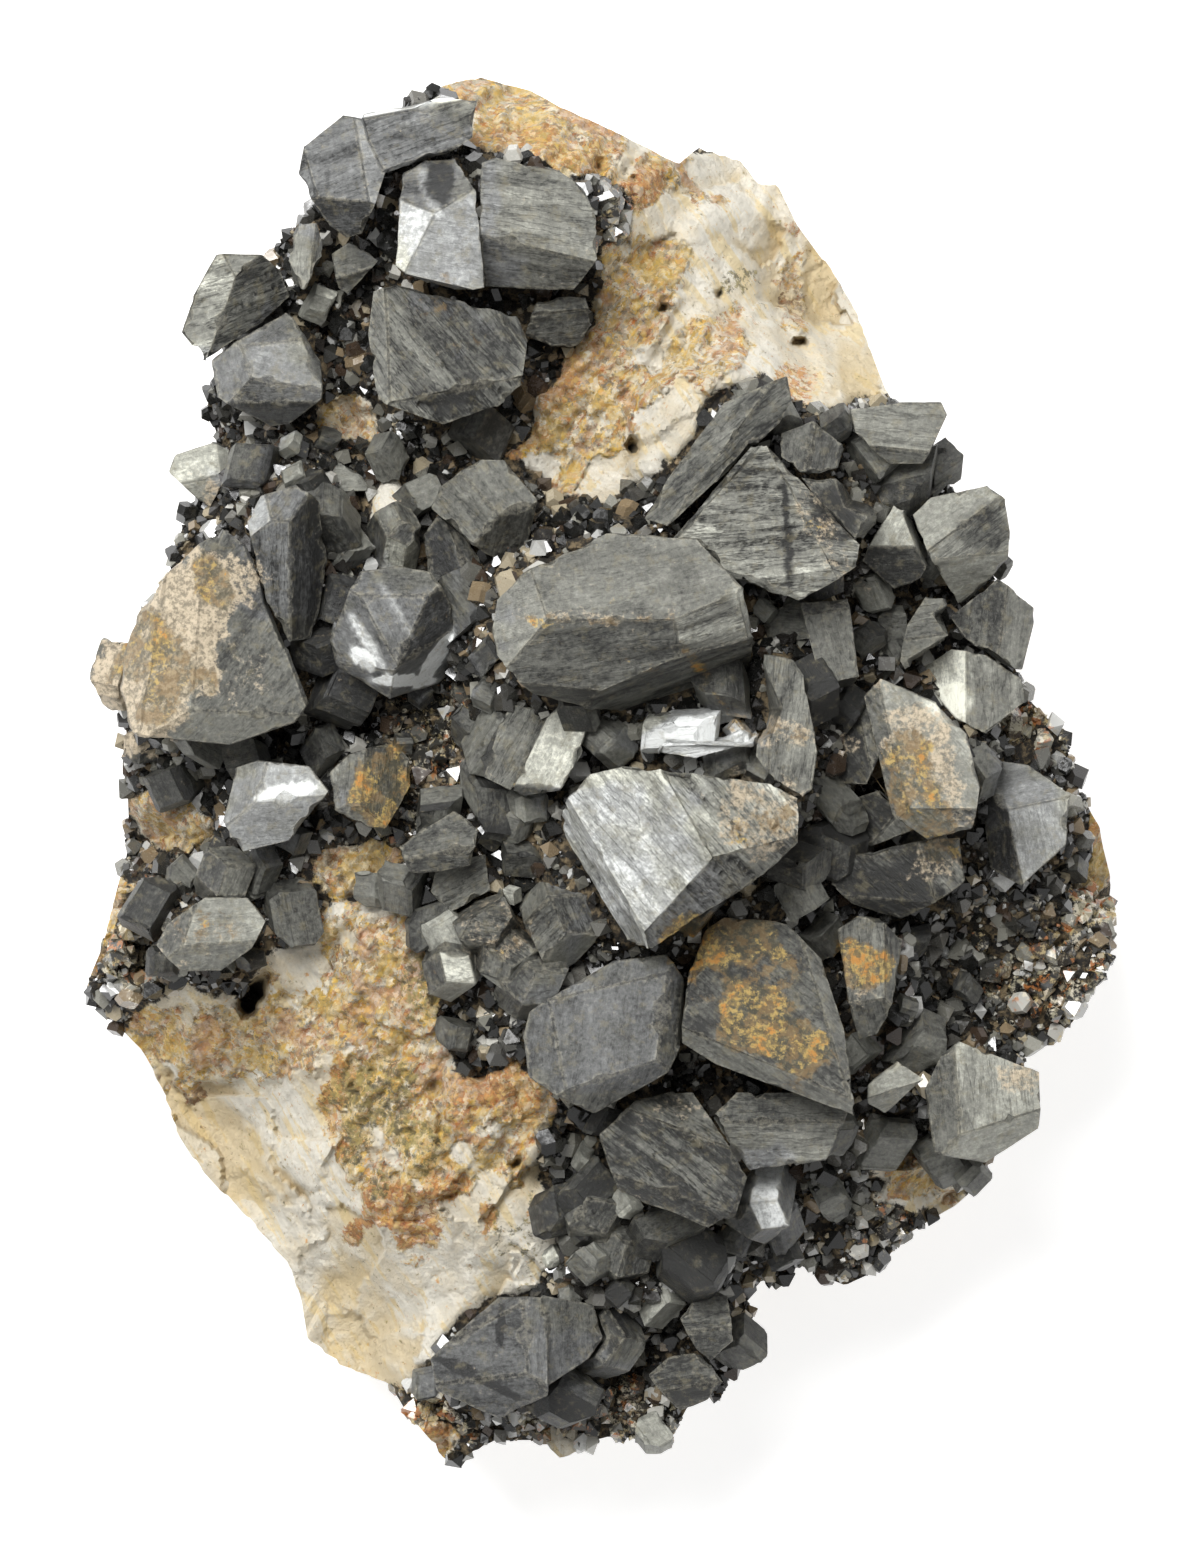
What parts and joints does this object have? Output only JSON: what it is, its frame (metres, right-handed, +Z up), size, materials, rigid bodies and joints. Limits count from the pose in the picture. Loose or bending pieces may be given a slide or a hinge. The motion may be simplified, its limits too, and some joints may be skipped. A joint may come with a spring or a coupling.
{
  "type": "black garnet crystals on matrix",
  "caption": "Black garnet specimen: grey-black striated crystals and sparkling druse crowded on a cream and ochre matrix, lying flat on its back.",
  "frame": {"origin": "middle of the specimen's footprint box, on the surface that it rests on", "axes": "+Z up out of the crystal-covered front, +Y along the specimen's long side toward the end with the ochre crust, +X to the right seen from above with +Y away"},
  "size_m": [0.083, 0.112, 0.0469],
  "materials": {
    "garnet": "satin grey-black crystal faces with fine parallel striations, paler worn edges and ochre dust in places",
    "druse": "small glossy black crystals with bright glints, rusty in places",
    "matrix": "rough cream rock with granular ochre and rust crust"
  },
  "bodies": {
    "root": {"druse_bottom": "druse", "druse_knob": "druse", "druse_left": "druse", "druse_low": "druse", "druse_right": "druse", "druse_upper": "druse", "garnet_behind": "garnet", "garnet_blade": "garnet", "garnet_block": "garnet", "garnet_bottom": "garnet", "garnet_bottom_low": "garnet", "garnet_bottom_mid": "garnet", "garnet_bottom_right": "garnet", "garnet_boulder": "garnet", "garnet_corner": "garnet", "garnet_dark_prism": "garnet", "garnet_dark_round": "garnet", "garnet_fan": "garnet", "garnet_gable": "garnet", "garnet_giant": "garnet", "garnet_head_mid": "garnet", "garnet_heap": "garnet", "garnet_knobbly": "garnet", "garnet_left_lower": "garnet", "garnet_left_small": "garnet", "garnet_left_upper": "garnet", "garnet_long_pair": "garnet", "garnet_low_left": "garnet", "garnet_low_pair": "garnet", "garnet_lower_mid": "garnet", "garnet_lower_right": "garnet", "garnet_mirror": "garnet", "garnet_ochre_edge": "garnet", "garnet_oval": "garnet", "garnet_pale_left": "garnet", "garnet_pale_mid": "garnet", "garnet_pale_prism": "garnet", "garnet_post": "garnet", "garnet_prism_left": "garnet", "garnet_right_dark": "garnet", "garnet_right_edge": "garnet", "garnet_right_head": "garnet", "garnet_right_patch": "garnet", "garnet_rusty_block": "garnet", "garnet_rusty_right": "garnet", "garnet_rusty_triangle": "garnet", "garnet_shadow": "garnet", "garnet_silver": "garnet", "garnet_slab": "garnet", "garnet_small_block": "garnet", "garnet_small_top": "garnet", "garnet_stepped": "garnet", "garnet_striated": "garnet", "garnet_striated_lower": "garnet", "garnet_striped": "garnet", "garnet_top": "garnet", "garnet_wedge": "garnet", "garnet_white_low": "garnet", "garnet_white_prism": "garnet", "matrix": "matrix"}
  },
  "joints": []
}
